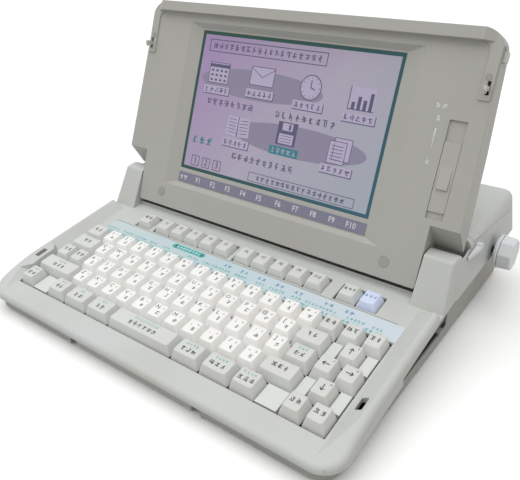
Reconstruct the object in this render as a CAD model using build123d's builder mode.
"""Portable electronic word processor: keyboard case, hinged display lid and built-in page printer.

Millimetres, +Z up, front towards -Y. Three frames are used:
- the table frame, in which the lower case is square;
- the deck frame, tilted by deck_tilt, with its origin at the front edge of the key well:
  local x from the machine's mid-plane, local y up the slope, local z above the deck;
- the lid frame, with its origin at the lid's lower front edge: local x from the mid-plane,
  local y up the lid, local z out of the display face.
"""

import os
from math import cos, radians, sin, sqrt, tan

from build123d import *

os.makedirs("parts", exist_ok=True)

# ---------------------------------------------------------------- driving dimensions
key_pitch = 19.0
well_columns = 17.25
well_rows = 5
deck_tilt = 8.2
deck_rise = 22.8  # height of the deck above the table at the front edge of the key well
foot_height = 2.5

case_half_width = 185.0
front_reach = 22.5
rear_reach = 307.0
side_draft = 5.5
case_wall = 2.5
floor_wall = 2.5
rim_height = 7.0
rim_back = 134.0  # rear end of the side rims
rim_flat_from = 34.0
edge_round = 5.0  # outer edge of the deck and rims
rear_top_height = 33.0
rear_top_drop = 0.1

lid_tilt = 60.0  # lid face above the deck, open
lid_foot_y = 149.8
lid_foot_height = 7.8
lid_length = 200.4
lid_half_width = 179.5
lid_taper = 4.5
lid_lower_half_width = 155.5
lid_thickness = 22.0
bezel_depth = 8.0
lid_wall = 2.0
lid_cheek_height = 52.0
hinge_height = 21.5  # hinge axis up the lid
hinge_depth = 12.1  # hinge axis behind the display face
ear_radius = 13.4
ear_gap = 1.2
ear_round = 2.5
pin_radius = 3.0

key_travel = 2.5
key_gap = 1.0
well_gap = 0.7  # round the keys in the deck's openings
stem_size = 4.0
platen_radius = 11.0
platen_y = 247.0
platen_height = -7.0
knob_radius = 15.0

# clearances
running = 0.06  # radial, shaft in bore
slide_gap = 0.3  # between sliding faces
trough_gap = 1.4  # lid's swept radius to the trough

# ---------------------------------------------------------------- derived frames
tilt_c = cos(radians(deck_tilt))
tilt_s = sin(radians(deck_tilt))
knob_reach = case_half_width + 19.0
mid_x = -(knob_reach - case_half_width) / 2
front_edge_h = -5.5
rear_edge_h = -20.0
rear_seam_slope = -0.108
deck_y0 = -(
    (-front_reach * tilt_c - front_edge_h * tilt_s) + (rear_reach * tilt_c - rear_edge_h * tilt_s)
) / 2


def deck_point(x, y, h):
    """World position of a point given in the deck frame."""
    return (mid_x + x, deck_y0 + y * tilt_c - h * tilt_s, deck_rise + y * tilt_s + h * tilt_c)


def deck_at(h=0.0):
    """Plane parallel to the deck at height h."""
    return Plane(origin=deck_point(0, 0, h), x_dir=(1, 0, 0), z_dir=(0, -tilt_s, tilt_c))


def deck_side(x):
    """Plane across the machine at x, sketched in deck y and height."""
    return Plane(origin=deck_point(x, 0, 0), x_dir=(0, tilt_c, tilt_s), z_dir=(1, 0, 0))


def table_at(z):
    """Horizontal plane at height z with its origin at the mid-plane."""
    return Plane.XY.offset(z).move(Location((mid_x, 0, 0)))


def table_side(x):
    """Plane across the machine at x, sketched in world y and z."""
    return Plane(origin=(mid_x + x, 0, 0), x_dir=(0, 1, 0), z_dir=(1, 0, 0))


lid_angle = radians(lid_tilt + deck_tilt)
lid_up = (0, cos(lid_angle), sin(lid_angle))
lid_out = (0, -sin(lid_angle), cos(lid_angle))
lid_foot = deck_point(0, lid_foot_y, lid_foot_height)


def lid_at(out=0.0):
    """Plane parallel to the display face, out in front of it."""
    origin = tuple(f + out * n for f, n in zip(lid_foot, lid_out))
    return Plane(origin=origin, x_dir=(1, 0, 0), z_dir=lid_out)


def lid_across(v):
    """Plane across the lid at height v up it, sketched in x and depth into the lid."""
    origin = tuple(f + v * u for f, u in zip(lid_foot, lid_up))
    return Plane(origin=origin, x_dir=(1, 0, 0), z_dir=lid_up)


def lid_side(x):
    """Plane across the lid at x, sketched in height up the lid and distance out of the face."""
    return Plane(origin=(lid_foot[0] + x, *lid_foot[1:]), x_dir=lid_up, z_dir=(1, 0, 0))


lean_c = cos(radians(lid_tilt))
lean_s = sin(radians(lid_tilt))
hinge_y = lid_foot_y + hinge_height * lean_c + hinge_depth * lean_s
hinge_h = lid_foot_height + hinge_height * lean_s - hinge_depth * lean_c
hinge_world = deck_point(0, hinge_y, hinge_h)

# ---------------------------------------------------------------- derived sizes
well_width = well_columns * key_pitch
well_depth = well_rows * key_pitch
ear_inner = lid_lower_half_width + ear_gap
lid_sweep = sqrt(hinge_height**2 + hinge_depth**2)
trough_radius = lid_sweep + trough_gap
trough_back = hinge_y + trough_radius + 0.5
closed_face_h = hinge_h - hinge_depth
rear_top_start = trough_back
cover_front = trough_back + 6.0
cover_skirt = 5.0  # cover's own height at its front edge
cover_slope = (rear_top_height - cover_skirt - 4.5) / (rear_reach - 1.0 - cover_front)
cover_gap = 0.3
cover_wall = 2.6
inner_half_width = case_half_width - 9.5
lower_half_width = case_half_width - 6.0
bottom_front = deck_y0 - (front_reach - 2.0) * tilt_c + 17.0 * tilt_s
bottom_rear = deck_y0 + (rear_reach - 2.5) * tilt_c + 20.0 * tilt_s


def rear_top(y):
    """Height of the printer housing's top at y."""
    return rear_top_height - rear_top_drop * (y - rear_top_start)


def cover_line(y):
    """Height of the parting line between the case and the printer cover."""
    return rear_top(cover_front) - cover_skirt - cover_slope * (y - cover_front)


def floor_h(y, above=0.0):
    """Height in the deck frame of the case floor's underside at y, plus above."""
    return (foot_height + above - deck_rise - y * tilt_s) / tilt_c


# keyboard levels, above the deck
cap_base = -2.0
plate_top = -4.8
plate_thickness = 1.4
stem_end = -7.0
switch_sheet_top = -9.7
switch_sheet = 0.8
row_tops = [7.3, 7.2, 6.6, 6.3, 5.9]
row_backs = [1.2, 1.7, 2.6, 2.7, 2.6]
function_row_y = 127.5
function_pitch = 18.9


def deck_front(y):
    """Plane facing the front at deck y, sketched in x and height above the deck."""
    return Plane(origin=deck_point(0, y, 0), x_dir=(1, 0, 0), z_dir=(0, -tilt_c, -tilt_s))


deck_half_width = well_width / 2 + 2.6
rim_top_half = case_half_width - 6.4  # where the rims' inner slope ends
housing_edge_radius = 8.0
cover_barrel = 2.4
cover_barrel_half = 160.0
cover_pivot_y = rear_reach - 0.8
cover_pivot_h = cover_line(cover_pivot_y)
lever_y = 209.0
lever_h = 21.5
lever_pin = 2.2
shaft_radius = 3.0
inlet_x = -130.0
inlet_z = 20.0
inlet_width = 26.0
inlet_height = 16.0
rocker_x = -95.0
rocker_width = 11.0
rocker_radius = 6.5

# ---------------------------------------------------------------- case seam and openings
seam_side = -7.5
seam_low = -29.0
seam_rear = -4.5  # where it starts to fall towards the rear
drive_front = 70.0
drive_back = 166.0
slot_top = -2.5
lip_height = 14.4
draft_spread = (front_edge_h - seam_low) * tan(radians(side_draft))
corner_radius = 20.0
rear_corner_radius = 9.0
seam_line = [
    (-front_reach - 20, front_edge_h),
    (20, seam_side),
    (drive_front, seam_side),
    (drive_back, seam_rear),
    (rear_reach + 20, seam_rear + rear_seam_slope * (rear_reach + 20 - drive_back)),
]
latch_x = 171.6
latch_v = 158.5
latch_travel = 3.5
knob_v = lid_length - 18.4
knob_length = 7.0
knob_out = 8.4
hook_reach = 8.5
hook_slot_y = hinge_y + hinge_height - latch_v - 0.5
hook_slot_x = latch_x + 1.2
hook_slot_length = 11.4
hook_slot_width = 5.4
function_groups = [(1.74, 1), (3.05, 5), (8.30, 5), (13.92, 2)]


def function_group_width(count):
    """Width of the deck opening round a group of function keys."""
    return count * function_pitch


def deck_coordinates(point):
    """Deck frame coordinates of a world point."""
    y = point.Y - deck_y0
    z = point.Z - deck_rise
    return (point.X - mid_x, y * tilt_c + z * tilt_s, z * tilt_c - y * tilt_s)


def is_across(edge):
    """Whether an edge runs across the top of the deck and its rims, from side to side."""
    return edge.bounding_box().size.X > 2 * case_half_width - 2 * corner_radius + 1


def is_upright(edge):
    """Whether an edge of the drafted block runs up one of its corners."""
    middle = edge.tangent_at(0.5)
    return abs(middle.X) < 0.5 and abs(middle.Z) > 0.8


def is_outer_ear_edge(edge):
    """Whether an edge is between a hinge ear's outer face and its front or top."""
    x, y, h = deck_coordinates(edge.center())
    return abs(x) > case_half_width - 8 and y < hinge_y + 1 and h > 3 and abs(edge.tangent_at(0.5).X) < 0.5


def is_ear_fold(edge):
    """Whether an edge runs across an ear where its front turns into its top."""
    x, y, h = deck_coordinates(edge.center())
    return abs(edge.tangent_at(0.5).X) > 0.9 and h > ear_top - 1 and y < hinge_y - 3


def is_deck_edge(edge):
    """Whether an edge is on the outer top edge of the deck and its rims."""
    x, y, h = deck_coordinates(edge.center())
    on_outline = abs(x) > case_half_width - corner_radius - 1 or y < -front_reach + 2
    return on_outline and y < rim_back - 1 and h > -1 and not is_across(edge)


# ---------------------------------------------------------------- upper case
trough_floor = hinge_h - trough_radius - 3.0
trough_floor_front = hinge_y - 11.0
ear_foot_y = 139.6
ear_top = hinge_h + ear_radius - 0.8
ear_front_slope = 53.5
ear_corner_y = ear_foot_y + ear_top / tan(radians(ear_front_slope))
web_top = 24.0
web_inner = lid_half_width + 0.8
case_span = 2 * case_half_width + 16

# drafted block, rounder at the front corners
with BuildPart() as drafted_block:
    with BuildSketch(deck_at(seam_low)):
        with Locations((0, (rear_reach - front_reach) / 2)):
            Rectangle(2 * (case_half_width + draft_spread), front_reach + rear_reach + 2 * draft_spread)
    extrude(amount=rear_top_height - seam_low + 4, taper=side_draft)
    uprights = drafted_block.edges().filter_by(is_upright).sort_by(Axis.Y)
    fillet(uprights[:2], radius=corner_radius)
    uprights = drafted_block.edges().filter_by(is_upright).sort_by(Axis.Y)
    fillet(uprights[-2:], radius=rear_corner_radius)

# side profile: seam below; rims, hinge trough and printer housing above
with BuildPart() as case_block:
    add(drafted_block.part)
    with BuildSketch(deck_side(-case_span / 2)):
        with BuildLine():
            Polyline(
                (-front_reach - 20, front_edge_h),
                *seam_line[1:],
                (rear_reach + 20, rear_top(rear_reach + 20)),
                (trough_back, rear_top(trough_back)),
                (trough_back, 0),
                (rim_back, 0),
                (rim_back, rim_height),
                (rim_flat_from, rim_height),
            )
            Spline(
                (rim_flat_from, rim_height),
                (rim_flat_from - 24, rim_height - 2),
                (-front_reach + 16, 1.6),
                (-front_reach + 3, 0),
                tangents=((-1, 0), (-1, 0)),
            )
            Polyline(
                (-front_reach + 3, 0),
                (-front_reach - 20, 0),
                (-front_reach - 20, front_edge_h),
            )
        make_face()
        with Locations((hinge_y, hinge_h)):
            Circle(trough_radius, mode=Mode.SUBTRACT)
    extrude(amount=case_span, mode=Mode.INTERSECT)
    housing_top = case_block.faces().sort_by(Axis.Z)[-1]
    fillet(housing_top.edges().sort_by(Axis.Y)[1:], radius=housing_edge_radius)
    fillet(case_block.edges().filter_by(is_deck_edge), radius=edge_round)

# raised pads round the latch slots, kept to the rims' rounded outline
pad_inner = deck_half_width - 2.0
pad_half = 16.0  # half the length of a pad beside the keys
with BuildPart() as latch_pads:
    for side in (-1, 1):
        with BuildSketch(deck_at(-1)):
            with BuildLine():
                Polyline(
                    (side * pad_inner, hook_slot_y - pad_half),
                    (side * pad_inner, hook_slot_y + pad_half - 6),
                    (side * (pad_inner + 6), hook_slot_y + pad_half),
                    (side * case_half_width, hook_slot_y + pad_half + 3),
                    (side * case_half_width, hook_slot_y - pad_half - 10),
                    (side * (pad_inner + 9), hook_slot_y - pad_half - 8),
                    close=True,
                )
            make_face()
        extrude(amount=rim_height + 1, taper=10)
    add(case_block.part, mode=Mode.INTERSECT)

with BuildPart() as hinge_ears:
    with BuildSketch(deck_side(-case_span / 2)):
        with BuildLine():
            Polyline(
                (ear_foot_y - 2 / tan(radians(ear_front_slope)), -2),
                (ear_corner_y, ear_top),
                (hinge_y, ear_top),
                (hinge_y, hinge_h - trough_radius - 1),
                (ear_foot_y + 10, -2),
                close=True,
            )
        make_face()
        with Locations((hinge_y, hinge_h)):
            Circle(ear_top - hinge_h)
        with Locations((hinge_y + 2, hinge_h - ear_radius - 4)):
            Rectangle(16, 20)
        # nothing below the seam
        with BuildLine():
            Polyline(*seam_line, (rear_reach + 20, -110), (-front_reach - 20, -110), close=True)
        make_face(mode=Mode.SUBTRACT)
    extrude(amount=case_span)
    add(drafted_block.part, mode=Mode.INTERSECT)
    with BuildSketch(deck_side(-ear_inner)):
        with Locations((hinge_y, 0)):
            Rectangle(4 * trough_radius, 5 * trough_radius)
    extrude(amount=2 * ear_inner, mode=Mode.SUBTRACT)
    fillet(hinge_ears.edges().filter_by(is_ear_fold), radius=ear_round + 0.5)
    fillet(hinge_ears.edges().filter_by(is_outer_ear_edge), radius=ear_round)

# side walls that carry the case's sides on past the trough, clear of the lid's cheeks
with BuildPart() as side_webs:
    with BuildSketch(deck_side(-case_span / 2)):
        with BuildLine():
            Polyline(
                (hinge_y - trough_radius + 4, seam_rear),
                (drive_back, seam_rear),
                (trough_back + 1, seam_rear + rear_seam_slope * (trough_back + 1 - drive_back)),
                (trough_back + 1, rear_top(trough_back) - housing_edge_radius),
                (trough_back - 5, rear_top(trough_back) - housing_edge_radius),
                (trough_back - 9, web_top),
                (hinge_y + 2, web_top),
                (hinge_y - 8, 10),
                (hinge_y - trough_radius + 4, 0),
                close=True,
            )
        make_face()
    extrude(amount=case_span)
    add(drafted_block.part, mode=Mode.INTERSECT)
    with BuildSketch(deck_side(-web_inner)):
        with Locations((hinge_y, 0)):
            Rectangle(4 * trough_radius, 5 * trough_radius)
    extrude(amount=2 * web_inner, mode=Mode.SUBTRACT)

with BuildPart() as upper_case:
    add(case_block.part)
    # deck let in between the side rims
    with BuildSketch(deck_front(-front_reach - 10)):
        with BuildLine():
            Polyline(
                (-deck_half_width, 0),
                (-rim_top_half, rim_height),
                (-rim_top_half, rim_height + 1),
                (rim_top_half, rim_height + 1),
                (rim_top_half, rim_height),
                (deck_half_width, 0),
                close=True,
            )
        make_face()
    extrude(amount=-(front_reach + 10 + rim_back + 16), mode=Mode.SUBTRACT)
    # raised pads round the latch slots
    add(latch_pads.part)
    # hollow inside
    with BuildSketch(deck_side(-inner_half_width)):
        with BuildLine():
            Polyline(
                (-front_reach + 3.5, -80),
                (-front_reach + 3.5, -case_wall),
                (trough_floor_front - 8, -case_wall),
                (trough_floor_front, trough_floor),
                (2 * hinge_y - trough_floor_front, trough_floor),
                (trough_back + case_wall, 2),
                (trough_back + case_wall, rear_top(trough_back) - case_wall),
                (rear_reach - 4.5, rear_top(rear_reach) - case_wall),
                (rear_reach - 4.5, -80),
                close=True,
            )
        make_face()
    extrude(amount=2 * inner_half_width, mode=Mode.SUBTRACT)
    # floor of the trough, which dips below the seam between the side walls
    with BuildSketch(deck_side(-inner_half_width)):
        with BuildLine():
            Polyline(
                (trough_floor_front - 8, -case_wall),
                (trough_floor_front, trough_floor),
                (2 * hinge_y - trough_floor_front, trough_floor),
                (trough_back + case_wall, 2),
                (trough_back + case_wall, hinge_h),
                (trough_floor_front - 8, hinge_h),
                close=True,
            )
        make_face()
        with Locations((hinge_y, hinge_h)):
            Circle(trough_radius, mode=Mode.SUBTRACT)
    extrude(amount=2 * inner_half_width)
    # hinge ears standing in the trough, and the side walls behind them
    add(hinge_ears.part)
    add(side_webs.part)
    # openings: key well, function keys, latch slots
    with BuildSketch(deck_at(1)):
        with Locations((0, well_depth / 2)):
            Rectangle(well_width + 2 * well_gap, well_depth + 2 * well_gap)
        for start, count in function_groups:
            width = function_group_width(count)
            with Locations((start * key_pitch - well_width / 2 + width / 2, function_row_y)):
                Rectangle(width + 2 * well_gap, key_pitch + 2 * well_gap)
    extrude(amount=-case_wall - 2, mode=Mode.SUBTRACT)
    with BuildSketch(deck_at(rim_height + 1)):
        with Locations((-hook_slot_x, hook_slot_y), (hook_slot_x, hook_slot_y)):
            RectangleRounded(hook_slot_width, hook_slot_length, 1.2)
    extrude(amount=-rim_height - 6, mode=Mode.SUBTRACT)
    # rail behind the printer bay for the cover's barrel
    with BuildSketch(deck_side(-cover_barrel_half)):
        with Locations((rear_reach - 5, -7)):
            Rectangle(9, 14)
    extrude(amount=2 * cover_barrel_half)
    # printer bay, closed by its own cover
    with BuildSketch(deck_side(-case_half_width - 8)):
        with BuildLine():
            Polyline(
                (cover_front, cover_line(cover_front)),
                (rear_reach + 30, cover_line(rear_reach + 30)),
                (rear_reach + 30, 80),
                (cover_front, 80),
                close=True,
            )
        make_face()
    extrude(amount=2 * case_half_width + 16, mode=Mode.SUBTRACT)
    with BuildSketch(deck_side(-cover_barrel_half - 1)):
        with Locations((cover_pivot_y, cover_pivot_h)):
            Circle(cover_barrel + cover_gap)
    extrude(amount=2 * cover_barrel_half + 2, mode=Mode.SUBTRACT)
    # disk drive opening in the right wall
    with BuildSketch(deck_side(inner_half_width - 1)):
        with Locations(((drive_front + drive_back) / 2, slot_top - 20)):
            RectangleRounded(drive_back - drive_front, 40, 3)
    extrude(amount=20, mode=Mode.SUBTRACT)
    # hinge pin bores, platen shaft hole and lever pivot
    with BuildSketch(deck_side(-ear_inner - 13)):
        with Locations((hinge_y, hinge_h)):
            Circle(pin_radius)
    extrude(amount=2 * ear_inner + 26, mode=Mode.SUBTRACT)
    with BuildSketch(deck_side(inner_half_width - 1)):
        with Locations((platen_y, platen_height)):
            Circle(shaft_radius + 0.6)
        with Locations((lever_y, lever_h)):
            Circle(lever_pin + running)
    extrude(amount=20, mode=Mode.SUBTRACT)
upper_case.part.label = "upper_case"
export_step(upper_case.part, "parts/upper_case.step")

# ---------------------------------------------------------------- lower case
handle_half = 64.0
handle_depth = 12.0
handle_height = 8.6
handle_travel = 32.0
finger_gap = 8.5
arm_x = 52.0
arm_width = 9.0
arm_length = 58.0
arm_thickness = 2.4
arm_z = foot_height + 1.9
skin = 1.6
board_z = foot_height + 6.9
board_thickness = 1.6
board_width = 165.0
board_depth = 108.0
board_x = -67.0
board_y = deck_point(0, 72, 0)[1]
boss_radius = 3.0
slot_length = (drive_back - drive_front) * tilt_c
slot_y = deck_point(0, (drive_front + drive_back) / 2, -8)[1]
foot_radius = 7.0
foot_x = 150.0
shaft_notch = 14.0


def back_wall(x):
    """Plane on the back wall, facing forward, sketched in x and z."""
    return Plane(origin=(mid_x + x, bottom_rear, 0), x_dir=(1, 0, 0), z_dir=(0, -1, 0))


with BuildPart() as lower_case:
    with BuildSketch(table_at(foot_height)):
        with Locations((0, (bottom_front + bottom_rear) / 2)):
            RectangleRounded(2 * lower_half_width, bottom_rear - bottom_front, corner_radius - 4)
    extrude(amount=75)
    with BuildSketch(deck_side(-case_half_width - 8)):
        with BuildLine():
            Polyline(*seam_line, (rear_reach + 20, -110), (-front_reach - 20, -110), close=True)
        make_face()
    extrude(amount=2 * case_half_width + 16, mode=Mode.INTERSECT)
    fillet(lower_case.edges().group_by(Axis.Z)[0], radius=2.0)
    with BuildSketch(table_at(foot_height + floor_wall)):
        with Locations((0, (bottom_front + bottom_rear) / 2)):
            RectangleRounded(2 * lower_half_width - 6, bottom_rear - bottom_front - 6, corner_radius - 7)
    extrude(amount=80, mode=Mode.SUBTRACT)
    # raised floor over the carrying handle and its arms, and bosses under the circuit board
    with BuildSketch(table_at(foot_height)):
        with Locations((0, bottom_front + (handle_depth + 4) / 2)):
            Rectangle(2 * (handle_half + finger_gap + 2), handle_depth + 4)
    extrude(amount=handle_height + slide_gap + skin)
    with BuildSketch(table_at(foot_height)):
        with Locations((-arm_x, bottom_front + (arm_length + 16) / 2), (arm_x, bottom_front + (arm_length + 16) / 2)):
            Rectangle(arm_width + 4, arm_length + 16)
    extrude(amount=arm_z - foot_height + arm_thickness + slide_gap + skin)
    with BuildSketch(table_at(foot_height)):
        with Locations((board_x, board_y)):
            with GridLocations(board_width - 12, board_depth - 12, 2, 2):
                Circle(boss_radius)
    extrude(amount=board_z - foot_height)
    # handle pocket with a finger gap at each end, and channels for its arms
    with BuildSketch(table_at(foot_height - 1)):
        with Locations((0, bottom_front + handle_depth / 2 - 1)):
            Rectangle(2 * (handle_half + finger_gap), handle_depth + 2 + 2 * slide_gap)
    extrude(amount=handle_height + slide_gap + 1, mode=Mode.SUBTRACT)
    with BuildSketch(table_at(arm_z - slide_gap)):
        with Locations((-arm_x, bottom_front + (handle_depth + arm_length) / 2)):
            Rectangle(arm_width + 2 * slide_gap, handle_depth + arm_length)
        with Locations((arm_x, bottom_front + (handle_depth + arm_length) / 2)):
            Rectangle(arm_width + 2 * slide_gap, handle_depth + arm_length)
    extrude(amount=arm_thickness + 2 * slide_gap, mode=Mode.SUBTRACT)
    # disk drive opening down to the lip
    with BuildSketch(table_side(inner_half_width - 1)):
        with Locations((slot_y, lip_height + 30)):
            RectangleRounded(slot_length, 60, 3)
    extrude(amount=12, mode=Mode.SUBTRACT)
    # notch in the right wall under the platen shaft
    with BuildSketch(deck_side(inner_half_width - 4)):
        with Locations((platen_y - 2, platen_height - shaft_notch)):
            Rectangle(shaft_notch, shaft_notch)
    extrude(amount=16, mode=Mode.SUBTRACT)
    # mains inlet and switch in the back wall
    with BuildSketch(back_wall(0).offset(-1)):
        with Locations((inlet_x, inlet_z)):
            Rectangle(inlet_width, inlet_height)
        with Locations((rocker_x, inlet_z)):
            Rectangle(rocker_width + 2 * slide_gap, 2 * rocker_radius + 2 * slide_gap)
    extrude(amount=6, mode=Mode.SUBTRACT)
lower_case.part.label = "lower_case"
export_step(lower_case.part, "parts/lower_case.step")

with BuildPart() as rubber_feet:
    with BuildSketch(table_at(0)):
        with Locations((0, (bottom_front + bottom_rear) / 2)):
            with GridLocations(2 * foot_x, bottom_rear - bottom_front - 60, 2, 2):
                Circle(foot_radius)
    extrude(amount=foot_height)
    chamfer(rubber_feet.edges().group_by(Axis.Z)[0], length=0.6)
rubber_feet.part.label = "rubber_feet"
export_step(rubber_feet.part, "parts/rubber_feet.step")

with BuildPart() as carry_handle:
    with BuildSketch(table_at(foot_height)):
        with Locations((0, bottom_front + handle_depth / 2)):
            Rectangle(2 * handle_half, handle_depth)
    extrude(amount=handle_height)
    fillet(carry_handle.edges().filter_by(Axis.X), radius=2.5)
    with BuildSketch(table_at(arm_z)):
        with Locations((-arm_x, bottom_front + handle_depth + arm_length / 2 - 2)):
            Rectangle(arm_width, arm_length + 2)
        with Locations((arm_x, bottom_front + handle_depth + arm_length / 2 - 2)):
            Rectangle(arm_width, arm_length + 2)
    extrude(amount=arm_thickness)
carry_handle.part.label = "carry_handle"
export_step(carry_handle.part, "parts/carry_handle.step")

with BuildPart() as main_circuit_board:
    with BuildSketch(table_at(board_z)):
        with Locations((board_x, board_y)):
            Rectangle(board_width, board_depth)
    extrude(amount=board_thickness)
    # processor and memory packages
    with BuildSketch(table_at(board_z + board_thickness)):
        with Locations((board_x, board_y + 30)):
            Rectangle(28, 28)
            with Locations((55, 0)):
                with GridLocations(16, 0, 2, 1):
                    Rectangle(10, 26)
    extrude(amount=3)
main_circuit_board.part.label = "main_circuit_board"
export_step(main_circuit_board.part, "parts/main_circuit_board.step")

supply_width = 96.0
supply_depth = 58.0
supply_height = 18.0
with BuildPart() as power_supply:
    with BuildSketch(table_at(foot_height + floor_wall)):
        with Locations((inlet_x + 52, bottom_rear - 22 - supply_depth / 2)):
            RectangleRounded(supply_width, supply_depth, 3)
    extrude(amount=supply_height)
power_supply.part.label = "power_supply"
export_step(power_supply.part, "parts/power_supply.step")

inlet_depth = 18.5
rocker_inset = 4.6
with BuildPart() as power_inlet:
    with BuildSketch(back_wall(inlet_x)):
        with Locations((0, inlet_z)):
            Rectangle(inlet_width - 2 * slide_gap, inlet_height - 2 * slide_gap)
    extrude(amount=inlet_depth)
    with BuildSketch(back_wall(inlet_x)):
        with Locations((0, inlet_z)):
            RectangleRounded(inlet_width - 5, inlet_height - 5, 2)
    extrude(amount=inlet_depth - 3, mode=Mode.SUBTRACT)
    with BuildSketch(back_wall(inlet_x).offset(4)):
        with Locations((-5, inlet_z + 1.5), (5, inlet_z + 1.5), (0, inlet_z - 2)):
            Rectangle(1.8, 3.6)
    extrude(amount=inlet_depth - 5)
    with BuildSketch(back_wall(inlet_x).offset(3.2)):
        with Locations((0, inlet_z)):
            Rectangle(inlet_width + 5, inlet_height + 5)
            Rectangle(inlet_width - 4, inlet_height - 4, mode=Mode.SUBTRACT)
    extrude(amount=1.6)
power_inlet.part.label = "power_inlet"
export_step(power_inlet.part, "parts/power_inlet.step")

with BuildPart() as power_switch:
    with BuildSketch(Plane.YZ.offset(mid_x + rocker_x - rocker_width / 2)):
        with Locations((bottom_rear - rocker_inset, inlet_z)):
            Circle(rocker_radius)
            with Locations((rocker_inset + 2.9, 0)):
                Rectangle(6, 20, mode=Mode.SUBTRACT)
    extrude(amount=rocker_width)
    with BuildSketch(Plane.YZ.offset(mid_x + rocker_x - rocker_width / 2 - 1.5)):
        with Locations((bottom_rear - rocker_inset, inlet_z)):
            Circle(1.5)
    extrude(amount=rocker_width + 3)
power_switch.part.label = "power_switch"
export_step(power_switch.part, "parts/power_switch.step")

# ---------------------------------------------------------------- keyboard
frame_half = well_width / 2 + 3.0
frame_back = function_row_y + key_pitch / 2 + 4.0
frame_front = -2.5
stem_gap = 0.2
dish_depth = 0.5
top_inset = 2.95
top_depth = 14.1
function_top = 5.2


def well_x(units):
    """Distance from the mid-plane of a column given in key units from the well's left edge."""
    return units * key_pitch - well_width / 2


def row_y(row):
    """Middle of a row of keys."""
    return (row + 0.5) * key_pitch


# keys as (first unit, width in units); the blanks are covered by filler plates
key_groups = {
    "letter_keys_row_1": (1, [(2.5 + i, 1) for i in range(11)]),
    "letter_keys_row_2": (2, [(2 + i, 1) for i in range(12)]),
    "letter_keys_row_3": (3, [(1.75 + i, 1) for i in range(12)]),
    "number_keys_row_4": (4, [(1.25 + i, 1) for i in range(13)]),
    "space_bar": (0, [(6.25, 3.75)]),
    "bottom_keys_left": (0, [(0, 1), (2, 1.25), (3.25, 1.5), (4.75, 1.5)]),
    "bottom_keys_right": (0, [(10, 1.5), (11.5, 1.5), (13, 1.25)]),
    "corner_keys": (0, [(15.25, 1), (16.25, 1)]),
    "left_shift_key": (1, [(0, 2.5)]),
    "right_shift_key": (1, [(13.5, 1.75)]),
    "arrow_down_key": (1, [(15.75, 1)]),
    "mode_keys_left": (2, [(0, 1), (1, 1)]),
    "delete_key": (2, [(14, 1.25)]),
    "arrow_left_key": (2, [(15.25, 1)]),
    "arrow_right_key": (2, [(16.25, 1)]),
    "tab_key": (3, [(0, 1.75)]),
    "return_key": (3, [(13.75, 1.5)]),
    "arrow_up_key": (3, [(15.75, 1)]),
    "escape_key": (4, [(0, 1.25)]),
    "edit_keys_row_4": (4, [(14.25 + i, 1) for i in range(3)]),
}
blank_plates = [(0, 1, 1), (0, 14.25, 1), (1, 15.25, 0.5), (1, 16.75, 0.5), (3, 15.25, 0.5), (3, 16.75, 0.5)]
function_nodes = {
    "function_key_single": (function_groups[0], 0, 1),
    "function_keys_f1_f5": (function_groups[1], 0, 5),
    "function_keys_f6_f10": (function_groups[2], 0, 5),
    "file_key": (function_groups[3], 0, 1),
    "help_key": (function_groups[3], 1, 1),
}


def function_x(group, i):
    """Middle of the i-th function key of a group."""
    return well_x(group[0]) + (i + 0.5) * function_pitch


def key_cap(width, depth, top, back_shift):
    """Dished key cap on a square stem, at the deck frame's origin."""
    with BuildPart(mode=Mode.PRIVATE) as cap:
        with BuildSketch(Plane.XY.offset(cap_base)):
            RectangleRounded(width, depth, 0.8)
        with BuildSketch(Plane.XY.offset(top)):
            with Locations((0, back_shift)):
                RectangleRounded(width - 2 * top_inset, min(top_depth, depth - 2.6), 2.0)
        loft()
        half = width / 2 - top_inset
        dish_radius = (half**2 + dish_depth**2) / (2 * dish_depth)
        with BuildSketch(Plane.XZ.offset(-depth)):
            with Locations((0, top - dish_depth + dish_radius)):
                Circle(dish_radius)
        extrude(amount=2 * depth, mode=Mode.SUBTRACT)
        with BuildSketch(Plane.XY.offset(cap_base)):
            Rectangle(stem_size, stem_size)
        extrude(amount=stem_end - cap_base)
    return cap.part


def placed_caps(places, width, depth, top, back_shift):
    """Copies of one cap standing on the deck at the given places."""
    cap = key_cap(width, depth, top, back_shift)
    return [deck_at(0).location * Location((x, y, 0)) * cap for x, y in places]


stem_places = []
for node, (row, keys) in key_groups.items():
    caps = []
    for first, units in keys:
        place = (well_x(first + units / 2), row_y(row))
        stem_places.append(place)
        caps += placed_caps([place], units * key_pitch - key_gap, key_pitch - key_gap, row_tops[row], row_backs[row])
    with BuildPart() as key_node:
        add(caps)
    key_node.part.label = node
    export_step(key_node.part, f"parts/{node}.step")

for node, (group, first, count) in function_nodes.items():
    places = [(function_x(group, first + i), function_row_y) for i in range(count)]
    stem_places += places
    with BuildPart() as key_node:
        add(placed_caps(places, function_pitch - key_gap, key_pitch - key_gap, function_top, 1.0))
    key_node.part.label = node
    export_step(key_node.part, f"parts/{node}.step")

with BuildPart() as keyboard_frame:
    with BuildSketch(deck_at(plate_top)):
        with Locations((0, (frame_front + frame_back) / 2)):
            Rectangle(2 * frame_half, frame_back - frame_front)
        with Locations(*stem_places):
            Rectangle(stem_size + 2 * stem_gap, stem_size + 2 * stem_gap, mode=Mode.SUBTRACT)
    extrude(amount=-plate_thickness)
    with BuildSketch(deck_at(-case_wall)):
        with Locations((0, (frame_front + frame_back) / 2)):
            Rectangle(2 * frame_half, frame_back - frame_front)
            Rectangle(2 * frame_half - 2 * skin, frame_back - frame_front - 2 * skin, mode=Mode.SUBTRACT)
    extrude(amount=switch_sheet_top + case_wall)
keyboard_frame.part.label = "keyboard_frame"
export_step(keyboard_frame.part, "parts/keyboard_frame.step")

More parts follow.
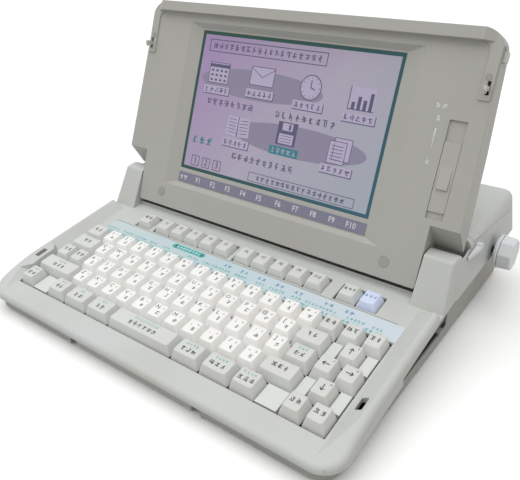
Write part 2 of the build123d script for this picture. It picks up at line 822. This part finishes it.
with BuildPart() as key_switch_sheet:
    with BuildSketch(deck_at(switch_sheet_top)):
        with Locations((0, (frame_front + frame_back) / 2)):
            Rectangle(2 * frame_half, frame_back - frame_front)
    extrude(amount=-switch_sheet)
key_switch_sheet.part.label = "key_switch_sheet"
export_step(key_switch_sheet.part, "parts/key_switch_sheet.step")

with BuildPart() as filler_plates:
    for row, first, units in blank_plates:
        with BuildSketch(deck_at(plate_top)):
            with Locations((well_x(first + units / 2), row_y(row))):
                Rectangle(units * key_pitch - key_gap, key_pitch - key_gap)
        extrude(amount=0.3 - plate_top)
filler_plates.part.label = "filler_plates"
export_step(filler_plates.part, "parts/filler_plates.step")

strip_front = 96.2
strip_back = 114.5
with BuildPart() as label_strip:
    with BuildSketch(deck_at(0)):
        with Locations(((well_x(0.42) + well_x(17.36)) / 2, (strip_front + strip_back) / 2)):
            Rectangle(well_x(17.36) - well_x(0.42), strip_back - strip_front)
    extrude(amount=0.4)
label_strip.part.label = "label_strip"
export_step(label_strip.part, "parts/label_strip.step")

# ---------------------------------------------------------------- disk drive
drive_bottom = 9.3
drive_height = 12.7
drive_width = 96.0
drive_length = 126.0
drive_base = 7.8  # height of the drive's chassis under the disk
disk_slot_z = drive_bottom + drive_base
disk_slot_height = 4.25
disk_slot_length = 91.0
disk_depth = 96.0
drive_face = inner_half_width - 7.0
bezel_face = lower_half_width - 0.4  # just inside the case's wall
bezel_gap = 0.4
bezel_lap = 2.0
button_length = 9.0
button_height = 2.0
button_y = slot_y + 36.0
button_z = lip_height + 0.4
button_travel = 4.0

with BuildPart() as floppy_drive:
    with BuildSketch(table_at(drive_bottom)):
        with Locations((drive_face - drive_length / 2, slot_y)):
            Rectangle(drive_length, drive_width)
    extrude(amount=drive_base)
    # motor and head housing behind the disk
    with BuildSketch(table_at(disk_slot_z)):
        with Locations((drive_face - (drive_length + disk_depth) / 2, slot_y)):
            Rectangle(drive_length - disk_depth, drive_width)
    extrude(amount=disk_slot_height)
    with BuildSketch(table_at(foot_height + floor_wall)):
        with Locations((drive_face - drive_length / 2, slot_y)):
            with GridLocations(drive_length - 20, drive_width - 12, 2, 2):
                Circle(4)
    extrude(amount=drive_bottom - foot_height - floor_wall)
    with BuildSketch(table_at(button_z - slide_gap)):
        with Locations((drive_face - 5, button_y)):
            Rectangle(10, button_length + 2 * slide_gap)
    extrude(amount=drive_base, mode=Mode.SUBTRACT)
floppy_drive.part.label = "floppy_drive"
export_step(floppy_drive.part, "parts/floppy_drive.step")

# folded sheet over the disk
flange = (drive_width - disk_slot_length) / 2
with BuildPart() as floppy_drive_cover:
    with BuildSketch(table_at(disk_slot_z)):
        for side in (-1, 1):
            with Locations((drive_face - disk_depth / 2, slot_y + side * (drive_width - flange) / 2)):
                Rectangle(disk_depth, flange)
    extrude(amount=disk_slot_height)
    with BuildSketch(table_at(disk_slot_z + disk_slot_height)):
        with Locations((drive_face - drive_length / 2, slot_y)):
            Rectangle(drive_length, drive_width)
    extrude(amount=drive_height - drive_base - disk_slot_height)
floppy_drive_cover.part.label = "floppy_drive_cover"
export_step(floppy_drive_cover.part, "parts/floppy_drive_cover.step")

# part of the bezel that fills the opening in the case
with BuildPart() as bezel_front:
    with BuildSketch(deck_side(inner_half_width)):
        with Locations(((drive_front + drive_back) / 2, slot_top - 20 - bezel_gap)):
            RectangleRounded(drive_back - drive_front - 2 * bezel_gap, 40, 3)
    extrude(amount=bezel_face - inner_half_width)
    with BuildSketch(table_side(inner_half_width)):
        with Locations((slot_y, lip_height + 30 + bezel_gap)):
            RectangleRounded(slot_length - 2 * bezel_gap, 60, 3)
    extrude(amount=bezel_face - inner_half_width, mode=Mode.INTERSECT)

with BuildPart() as floppy_bezel:
    with BuildSketch(deck_side(drive_face)):
        with BuildLine():
            Polyline(
                (drive_front - bezel_lap, -60),
                (drive_front - bezel_lap, -case_wall),
                (trough_floor_front - 8.1, -case_wall),
                (trough_floor_front, trough_floor),
                (drive_back + bezel_lap, trough_floor),
                (drive_back + bezel_lap, -60),
                close=True,
            )
        make_face()
    extrude(amount=inner_half_width - drive_face)
    with BuildSketch(table_side(drive_face)):
        with Locations((slot_y, lip_height - 1.5 + 30)):
            Rectangle(slot_length + 20, 60)
    extrude(amount=inner_half_width - drive_face, mode=Mode.INTERSECT)
    add(bezel_front.part)
    with BuildSketch(table_side(drive_face - 1)):
        with Locations((slot_y, disk_slot_z + disk_slot_height / 2)):
            Rectangle(disk_slot_length, disk_slot_height)
        with Locations((button_y, button_z + button_height / 2)):
            Rectangle(button_length + 2 * slide_gap, button_height + 2 * slide_gap)
    extrude(amount=bezel_face - drive_face + 2, mode=Mode.SUBTRACT)
floppy_bezel.part.label = "floppy_bezel"
export_step(floppy_bezel.part, "parts/floppy_bezel.step")

with BuildPart() as eject_button:
    with BuildSketch(table_side(drive_face - 5)):
        with Locations((button_y, button_z + button_height / 2)):
            Rectangle(button_length, button_height)
    extrude(amount=bezel_face - drive_face + 6.5)
eject_button.part.label = "eject_button"
export_step(eject_button.part, "parts/eject_button.step")

# ---------------------------------------------------------------- printer
side_plate_x = 158.0
side_plate = 1.8
rail_radius = 3.0
rail_front = (219.0, -13.0)
rail_back = (232.0, -24.0)
motor_radius = 14.0
motor_length = 12.0
carriage_width = 44.0
carriage_travel = 110.0


plate_front = 212.0
plate_back = 268.0
cassette_width = 40.0
print_head_width = 12.0
knob_start = case_half_width + 3.5
shaft_left = side_plate_x + 9.0
lever_x = case_half_width - 2.2
lever_thickness = 3.2
lever_length = 21.0
lever_out = 4.5
paper_half = 123.0
paper_front = 240.0
paper_back = 262.0

with BuildPart() as printer_side_plates:
    for side in (-1, 1):
        with BuildSketch(deck_side(side * side_plate_x - side_plate / 2)):
            with BuildLine():
                Polyline(
                    (plate_front, floor_h(plate_front, floor_wall)),
                    (plate_back, floor_h(plate_back, floor_wall)),
                    (plate_back, platen_height),
                    (platen_y + 6, 8),
                    (platen_y - 12, 8),
                    (plate_front, rail_front[1] + 8),
                    close=True,
                )
            make_face()
            with Locations((platen_y, platen_height)):
                Circle(shaft_radius + running, mode=Mode.SUBTRACT)
            with Locations(rail_front, rail_back):
                Circle(rail_radius, mode=Mode.SUBTRACT)
        extrude(amount=side_plate)
printer_side_plates.part.label = "printer_side_plates"
export_step(printer_side_plates.part, "parts/printer_side_plates.step")

with BuildPart() as carriage_rails:
    with BuildSketch(deck_side(-side_plate_x - side_plate / 2)):
        with Locations(rail_front, rail_back):
            Circle(rail_radius)
    extrude(amount=2 * side_plate_x + side_plate)
carriage_rails.part.label = "carriage_rails"
export_step(carriage_rails.part, "parts/carriage_rails.step")

with BuildPart() as feed_motor:
    with BuildSketch(deck_side(-side_plate_x - side_plate / 2 - motor_length)):
        with Locations((platen_y, platen_height)):
            Circle(motor_radius)
    extrude(amount=motor_length)
    with BuildSketch(deck_side(-side_plate_x - motor_length + 1)):
        with Locations((platen_y, platen_height)):
            Circle(shaft_radius + running)
    extrude(amount=motor_length, mode=Mode.SUBTRACT)
feed_motor.part.label = "feed_motor"
export_step(feed_motor.part, "parts/feed_motor.step")

with BuildPart() as platen_roller:
    with BuildSketch(deck_side(-side_plate_x + 8)):
        with Locations((platen_y, platen_height)):
            Circle(platen_radius)
    extrude(amount=2 * side_plate_x - 16)
    with BuildSketch(deck_side(-shaft_left)):
        with Locations((platen_y, platen_height)):
            Circle(shaft_radius)
    extrude(amount=shaft_left + knob_start + 9)
platen_roller.part.label = "platen_roller"
export_step(platen_roller.part, "parts/platen_roller.step")

def is_knob_ridge(edge):
    """Whether an edge is one of the eight that run along the knob."""
    return abs(edge.tangent_at(0.5).X) > 0.9


with BuildPart() as platen_knob:
    with BuildSketch(deck_side(knob_start)):
        with Locations((platen_y, platen_height)):
            Circle(knob_radius - 3.5)
    extrude(amount=3)
    with BuildSketch(deck_side(knob_start + 2)):
        with Locations((platen_y, platen_height)):
            Circle(knob_radius)
    extrude(amount=2)
    with BuildSketch(deck_side(knob_start + 3)):
        with Locations((platen_y, platen_height)):
            Circle(knob_radius - 2)
    extrude(amount=3)
    with BuildSketch(deck_side(knob_start + 4.6)):
        with Locations((platen_y, platen_height)):
            RegularPolygon(knob_radius, 8, rotation=22.5)
    extrude(amount=knob_reach - knob_start - 4.6, taper=3)
    fillet(platen_knob.edges().filter_by(is_knob_ridge), radius=2.0)
    fillet(platen_knob.faces().sort_by(Axis.X)[-1].edges(), radius=1.8)
    with BuildSketch(deck_side(knob_start)):
        with Locations((platen_y, platen_height)):
            Circle(shaft_radius)
    extrude(amount=9, mode=Mode.SUBTRACT)
platen_knob.part.label = "platen_knob"
export_step(platen_knob.part, "parts/platen_knob.step")

with BuildPart() as print_carriage:
    with BuildSketch(deck_side(-carriage_width / 2)):
        with BuildLine():
            Polyline(
                (rail_front[0] - 7, rail_front[1] - 6),
                (rail_back[0] - 5, rail_back[1] - 7),
                (rail_back[0] + 6, rail_back[1] - 7),
                (rail_back[0] + 2, rail_front[1] + 6),
                (rail_front[0] - 7, rail_front[1] + 6),
                close=True,
            )
        make_face()
        with Locations(rail_front, rail_back):
            Circle(rail_radius + running, mode=Mode.SUBTRACT)
    extrude(amount=carriage_width)
    with BuildSketch(deck_side(-print_head_width / 2)):
        with Locations((platen_y - platen_radius - 0.5 - 4.5, platen_height - 4)):
            Rectangle(9, 17)
    extrude(amount=print_head_width)
print_carriage.part.label = "print_carriage"
export_step(print_carriage.part, "parts/print_carriage.step")

with BuildPart() as ribbon_cassette:
    with BuildSketch(deck_side(-cassette_width / 2)):
        with Locations((platen_y - platen_radius - 22, rail_front[1] + 6 + 6)):
            Rectangle(22, 12)
    extrude(amount=cassette_width)
    fillet(ribbon_cassette.edges().filter_by(is_upright), radius=3)
ribbon_cassette.part.label = "ribbon_cassette"
export_step(ribbon_cassette.part, "parts/ribbon_cassette.step")

with BuildPart() as printer_cover:
    add(case_block.part)
    with BuildSketch(deck_side(-case_span / 2)):
        with BuildLine():
            Polyline(
                (cover_front + cover_gap, cover_line(cover_front) + cover_gap),
                (rear_reach + 30, cover_line(rear_reach + 30) + cover_gap),
                (rear_reach + 30, 80),
                (cover_front + cover_gap, 80),
                close=True,
            )
        make_face()
    extrude(amount=case_span, mode=Mode.INTERSECT)
    with BuildSketch(deck_side(-inner_half_width)):
        with BuildLine():
            Polyline(
                (cover_front + cover_gap + cover_wall, rear_top(cover_front) - cover_wall),
                (rear_reach - 5, rear_top(rear_reach - 5) - cover_wall),
                (rear_reach - 5, -20),
                (cover_front + cover_gap + cover_wall, -20),
                close=True,
            )
        make_face()
    extrude(amount=2 * inner_half_width, mode=Mode.SUBTRACT)
    with BuildSketch(deck_at(0)):
        with Locations((0, (paper_front + paper_back) / 2)):
            RectangleRounded(2 * paper_half, paper_back - paper_front, 4)
    extrude(amount=60, mode=Mode.SUBTRACT)
    with BuildSketch(deck_side(-cover_barrel_half)):
        with Locations((cover_pivot_y, cover_pivot_h)):
            Circle(cover_barrel)
    extrude(amount=2 * cover_barrel_half)
printer_cover.part.label = "printer_cover"
export_step(printer_cover.part, "parts/printer_cover.step")

with BuildPart() as paper_release_lever:
    with BuildSketch(deck_at(lever_h - lever_thickness / 2)):
        with BuildLine():
            Polyline(
                (lever_x, lever_y + lever_pin),
                (lever_x, lever_y - lever_length),
                (lever_x + 1, lever_y - lever_length),
                (lever_x + lever_out, lever_y - 5),
                (lever_x + lever_out, lever_y + lever_pin),
                close=True,
            )
        make_face()
    extrude(amount=lever_thickness)
    with BuildSketch(deck_side(lever_x)):
        with Locations((lever_y, lever_h)):
            Circle(lever_pin + 1)
    extrude(amount=lever_out)
    with BuildSketch(deck_side(inner_half_width - 2)):
        with Locations((lever_y, lever_h)):
            Circle(lever_pin)
    extrude(amount=lever_x - inner_half_width + 3)
paper_release_lever.part.label = "paper_release_lever"
export_step(paper_release_lever.part, "parts/paper_release_lever.step")

# ---------------------------------------------------------------- display lid
lid_top_radius = 15.0
lid_low_radius = 2.0
lip_start = lid_length - 9.0
lip_out = 6.0
lip_half = 161.0
lip_run = 8.0  # length of the slope at each end of the lip
arm_in = 166.0
arm_out = 175.0
arm_low = 150.0
arm_corner = 9.0
arm_rise = 1.0
recess_depth = 5.0
recess_wall = 1.6
recess = (-124.0, 118.0, 24.0, lid_length - 16.4)  # left, right, bottom and top of the screen recess at the face
recess_bevel = (13.0, 15.0, 4.0, 4.5)  # how far each side slopes in to the recess floor
window = (-110.0, 102.0, 43.0, lid_length - 22.4)
cap_x = 126.0
cap_v = 14.0
cap_radius = 4.5
bumper_x = 170.0
bumper_v = 167.0
bumper_radius = 2.5
bumper_rise = 0.3
slider_x = 156.75
slider_slot = (57.0, 133.0)
slider_slot_width = 13.9
slider_slot_depth = 1.8
slider_plate = (62.8, 116.9)
thumb_low = 80.0
thumb_length = 19.0
thumb_rise = 1.2
slider_down = -5.0
slider_up = 15.5
pin_length = 24.0
hook_thickness = 2.2
lid_back = -lid_thickness


def box_middle(box):
    """Middle of a (left, right, bottom, top) box."""
    return ((box[0] + box[1]) / 2, (box[2] + box[3]) / 2)


def box_size(box, grow=0.0):
    """Width and height of a (left, right, bottom, top) box, grown on every side."""
    return (box[1] - box[0] + 2 * grow, box[3] - box[2] + 2 * grow)


def lid_outline(inset=0.0):
    """Corners of the lid's outline, moved in by inset."""
    half = lid_half_width - inset
    top_half = lid_half_width - lid_taper - inset
    low_half = lid_lower_half_width - inset
    cheek = lid_cheek_height + inset
    right = [(low_half, inset), (low_half, cheek), (half, cheek), (top_half, lid_length - inset)]
    return right + [(-x, v) for x, v in reversed(right)]


def is_lid_corner(edge):
    """Whether an edge runs straight into the lid from its face."""
    middle = edge.tangent_at(0.5)
    return abs(middle.X) < 0.01 and abs(middle.Y * lid_out[1] + middle.Z * lid_out[2]) > 0.999


recess_floor = (
    recess[0] + recess_bevel[0],
    recess[1] - recess_bevel[1],
    recess[2] + recess_bevel[2],
    recess[3] - recess_bevel[3],
)

# full lid: block with the notches cut round the ears and the back leant in towards the top
cheek_slope = 36.5  # notch wall to the lid's thickness
cheek_drop = tan(radians(cheek_slope))
border_top = lip_start + 1
arm_bow = arm_corner * (1 - cos(radians(45)))
with BuildPart() as lid_block:
    with BuildSketch(lid_at(0)):
        with BuildLine():
            Polyline(*lid_outline(), close=True)
        make_face()
    extrude(amount=-lid_thickness)
    top_corners = lid_block.edges().filter_by(is_lid_corner).group_by(Axis.Z)[-1]
    fillet(top_corners, radius=lid_top_radius)
    low_corners = lid_block.edges().filter_by(is_lid_corner).group_by(Axis.Z)[0]
    fillet(low_corners, radius=lid_low_radius)
    # raised lip along the top and the low border below its ends, cut to the lid's outline
    with BuildPart(mode=Mode.PRIVATE) as lid_lip:
        with BuildSketch(lid_across(lip_start)):
            with BuildLine():
                Polyline(
                    (-lip_half - lip_run, 1),
                    (-lip_half - lip_run, 0),
                    (-lip_half, -lip_out),
                    (lip_half, -lip_out),
                    (lip_half + lip_run, 0),
                    (lip_half + lip_run, 1),
                    close=True,
                )
            make_face()
        extrude(amount=lid_length - lip_start)
        for side in (-1, 1):
            with BuildSketch(lid_at(0)):
                with BuildLine():
                    Polyline(
                        (side * arm_in, border_top - arm_corner),
                        (side * arm_in, arm_low),
                        (side * arm_out, arm_low),
                        (side * arm_out, lid_length),
                        (side * (arm_in - arm_corner), lid_length),
                        (side * (arm_in - arm_corner), border_top),
                    )
                    ThreePointArc(
                        (side * (arm_in - arm_corner), border_top),
                        (side * (arm_in - arm_bow), border_top - arm_bow),
                        (side * arm_in, border_top - arm_corner),
                    )
                make_face()
            extrude(amount=arm_rise)
        extrude(lid_block.faces().sort_by(Axis(lid_foot, lid_out))[-1], amount=lip_out, mode=Mode.INTERSECT)
    # cheeks reach down behind the face beside the ears
    for side in (-1, 1):
        inner = lid_lower_half_width - 0.5
        start = -lid_half_width if side < 0 else inner
        with BuildSketch(lid_side(start)):
            with BuildLine():
                Polyline(
                    (lid_cheek_height, 0),
                    (lid_cheek_height - cheek_drop * lid_thickness, -lid_thickness),
                    (lid_cheek_height + 5, -lid_thickness),
                    (lid_cheek_height + 5, 0),
                    close=True,
                )
            make_face()
        extrude(amount=lid_half_width - inner)
    # back leant in towards the top edge and the sides
    with BuildSketch(lid_side(-lid_half_width - 1)):
        with BuildLine():
            Polyline(
                (lid_length * 0.55, lid_back),
                (lid_length + 1, lid_back + 8),
                (lid_length + 1, lid_back - 1),
                (lid_length * 0.55, lid_back - 1),
                close=True,
            )
        make_face()
        with BuildLine():
            Polyline((-1, lid_back + 5), (5, lid_back - 1), (-1, lid_back - 1), close=True)
        make_face()
    extrude(amount=2 * lid_half_width + 2, mode=Mode.SUBTRACT)
    add(lid_lip.part)


def lid_half_space(front):
    """Box that holds the part of the lid in front of, or behind, the joint of its two shells."""
    with BuildPart(mode=Mode.PRIVATE) as half:
        with BuildSketch(lid_at(-bezel_depth)):
            with Locations((0, lid_length / 2)):
                Rectangle(3 * lid_half_width, 2 * lid_length)
        extrude(amount=40 if front else -40)
    return half.part


with BuildPart() as lid_front_bezel:
    add(lid_block.part)
    add(lid_half_space(True), mode=Mode.INTERSECT)
    with BuildSketch(lid_at(-bezel_depth)):
        with BuildLine():
            Polyline(*lid_outline(lid_wall), close=True)
        make_face()
    extrude(amount=bezel_depth - lid_wall, mode=Mode.SUBTRACT)
    # tub of the screen recess and floor of the slider slot
    with BuildSketch(lid_at(-recess_depth - recess_wall)):
        with Locations(box_middle(recess)):
            Rectangle(*box_size(recess, lid_wall))
        with Locations((slider_x, (slider_slot[0] + slider_slot[1]) / 2)):
            Rectangle(slider_slot_width + 4, slider_slot[1] - slider_slot[0] + 4)
    extrude(amount=recess_depth + recess_wall - 0.5)
    # recess with bevelled sides, then the window
    with BuildSketch(lid_at(-recess_depth)):
        with Locations(box_middle(recess_floor)):
            Rectangle(*box_size(recess_floor))
    with BuildSketch(lid_at(0)):
        with Locations(box_middle(recess)):
            Rectangle(*box_size(recess))
    loft(mode=Mode.SUBTRACT)
    with BuildSketch(lid_at(-recess_depth - 5)):
        with Locations(box_middle(window)):
            Rectangle(*box_size(window))
    extrude(amount=8, mode=Mode.SUBTRACT)
    # contrast slider's slot, with a narrower slot for its tongue
    with BuildSketch(lid_at(-slider_slot_depth)):
        with Locations((slider_x, (slider_slot[0] + slider_slot[1]) / 2)):
            Rectangle(slider_slot_width, slider_slot[1] - slider_slot[0])
    extrude(amount=5, mode=Mode.SUBTRACT)
    with BuildSketch(lid_at(-bezel_depth - 1)):
        with Locations((slider_x, (slider_plate[0] + slider_plate[1]) / 2 + (slider_up + slider_down) / 2)):
            Rectangle(5, slider_up - slider_down + 21)
    extrude(amount=bezel_depth, mode=Mode.SUBTRACT)
    # slots for the latch hooks and the latch knob, seats of the rubber caps
    with BuildSketch(lid_at(-lid_wall - 1)):
        for side in (-1, 1):
            with Locations((side * latch_x, latch_v + latch_travel / 2 - 1.2)):
                Rectangle(hook_thickness + 2 * slide_gap, latch_travel + 6.6)
    extrude(amount=lid_wall + arm_rise + 2, mode=Mode.SUBTRACT)
    with BuildSketch(lid_side(lid_half_width - lid_taper - 4)):
        with Locations((knob_v + latch_travel / 2, -4)):
            Rectangle(knob_length + latch_travel + 1, 3.6)
    extrude(amount=10, mode=Mode.SUBTRACT)
    with BuildSketch(lid_at(-1)):
        with Locations((-cap_x, cap_v), (cap_x, cap_v)):
            Circle(cap_radius)
    extrude(amount=5, mode=Mode.SUBTRACT)
lid_front_bezel.part.label = "lid_front_bezel"
export_step(lid_front_bezel.part, "parts/lid_front_bezel.step")

boss_length = 14.0
with BuildPart() as lid_back_cover:
    add(lid_block.part)
    add(lid_half_space(False), mode=Mode.INTERSECT)
    # hollow behind the display, leant in like the outside
    with BuildSketch(lid_at(-bezel_depth)):
        with BuildLine():
            Polyline(*lid_outline(lid_wall + 0.4), close=True)
        make_face()
    extrude(amount=bezel_depth - lid_thickness + lid_wall + 7, mode=Mode.SUBTRACT)
    with BuildSketch(lid_at(-bezel_depth)):
        with Locations((0, lid_length * 0.3)):
            Rectangle(2 * lid_lower_half_width - 8, lid_length * 0.5)
    extrude(amount=bezel_depth - lid_thickness + lid_wall, mode=Mode.SUBTRACT)
    # bosses round the hinge pins
    for side in (-1, 1):
        with BuildSketch(lid_side(side * (lid_lower_half_width - 1 - boss_length / 2) - boss_length / 2)):
            with Locations((hinge_height, (-bezel_depth - lid_thickness + 1) / 2)):
                Rectangle(12, lid_thickness - bezel_depth - 1)
        extrude(amount=boss_length)
    with BuildSketch(lid_side(-lid_lower_half_width - 1)):
        with Locations((hinge_height, -hinge_depth)):
            Circle(pin_radius + running)
    extrude(amount=2 * lid_lower_half_width + 2, mode=Mode.SUBTRACT)
lid_back_cover.part.label = "lid_back_cover"
export_step(lid_back_cover.part, "parts/lid_back_cover.step")

with BuildPart() as hinge_pins:
    for side in (-1, 1):
        middle = side * (ear_inner + 13 - pin_length / 2)
        with BuildSketch(deck_side(middle - pin_length / 2)):
            with Locations((hinge_y, hinge_h)):
                Circle(pin_radius)
        extrude(amount=pin_length)
hinge_pins.part.label = "hinge_pins"
export_step(hinge_pins.part, "parts/hinge_pins.step")

with BuildPart() as lcd_panel:
    with BuildSketch(lid_at(-recess_depth - recess_wall)):
        with Locations(box_middle(window)):
            Rectangle(*box_size(window, 4))
    extrude(amount=-6)
    with BuildSketch(lid_at(-recess_depth - recess_wall)):
        with Locations(box_middle(window)):
            Rectangle(*box_size(window, -0.2))
    extrude(amount=recess_wall - 0.4)
lcd_panel.part.label = "lcd_panel"
export_step(lcd_panel.part, "parts/lcd_panel.step")

with BuildPart() as function_label_strip:
    with BuildSketch(lid_at(-recess_depth)):
        with Locations(((recess_floor[0] + recess_floor[1]) / 2, 34)):
            Rectangle(recess_floor[1] - recess_floor[0] - 2, 10)
    extrude(amount=0.5)
function_label_strip.part.label = "function_label_strip"
export_step(function_label_strip.part, "parts/function_label_strip.step")

with BuildPart() as lid_rubber_caps:
    with BuildSketch(lid_at(-1)):
        with Locations((-cap_x, cap_v), (cap_x, cap_v)):
            Circle(cap_radius)
    extrude(amount=1.3)
    with BuildSketch(lid_at(arm_rise)):
        with Locations((-bumper_x, bumper_v), (bumper_x, bumper_v)):
            Circle(bumper_radius)
    extrude(amount=bumper_rise)
lid_rubber_caps.part.label = "lid_rubber_caps"
export_step(lid_rubber_caps.part, "parts/lid_rubber_caps.step")

with BuildPart() as contrast_slider:
    with BuildSketch(lid_at(-slider_slot_depth)):
        with Locations((slider_x, (slider_plate[0] + slider_plate[1]) / 2)):
            Rectangle(slider_slot_width - 2 * slide_gap, slider_plate[1] - slider_plate[0])
    extrude(amount=slider_slot_depth - 0.3)
    # thumb piece, rising towards its steep lower end
    with BuildSketch(lid_side(slider_x - slider_slot_width / 2 + 2.5)):
        with BuildLine():
            Polyline(
                (thumb_low, -0.8),
                (thumb_low + 0.6, thumb_rise),
                (thumb_low + thumb_length, -0.4),
                (thumb_low + thumb_length, -0.8),
                close=True,
            )
        make_face()
    extrude(amount=slider_slot_width - 5)
    with BuildSketch(lid_at(-slider_slot_depth)):
        with Locations((slider_x, (slider_plate[0] + slider_plate[1]) / 2)):
            Rectangle(4.4, 20)
    extrude(amount=-(recess_depth + recess_wall - slider_slot_depth) - 1.0)
contrast_slider.part.label = "contrast_slider"
export_step(contrast_slider.part, "parts/contrast_slider.step")

# one sprung slide carries both hooks and the knob
bar_v = lid_length - 11.4
bar_height = 4.0
bar_n = -5.6
bar_thickness = 2.0
with BuildPart() as latch_slide:
    with BuildSketch(lid_at(bar_n)):
        with Locations((0, bar_v)):
            Rectangle(2 * latch_x + hook_thickness, bar_height)
        for side in (-1, 1):
            with Locations((side * latch_x, (latch_v + bar_v) / 2)):
                Rectangle(hook_thickness, bar_v - latch_v + 4)
    extrude(amount=bar_thickness)
    with BuildSketch(lid_side(0)):
        with BuildLine():
            Polyline(
                (latch_v + 1.6, bar_n),
                (latch_v - 1.6, bar_n),
                (latch_v - 1.6, hook_reach - 3),
                (latch_v - 4, hook_reach - 2),
                (latch_v - 1.6, hook_reach),
                (latch_v + 1.6, hook_reach),
                close=True,
            )
        make_face()
    hooks = extrude(amount=hook_thickness, mode=Mode.PRIVATE)
    for side in (-1, 1):
        add(hooks.moved(Location((side * latch_x - hook_thickness / 2, 0, 0))))
    with BuildSketch(lid_side(latch_x - hook_thickness / 2)):
        with Locations((knob_v, -4)):
            Rectangle(knob_length, 2.8)
    extrude(amount=knob_out)
latch_slide.part.label = "latch_slide"
export_step(latch_slide.part, "parts/latch_slide.step")
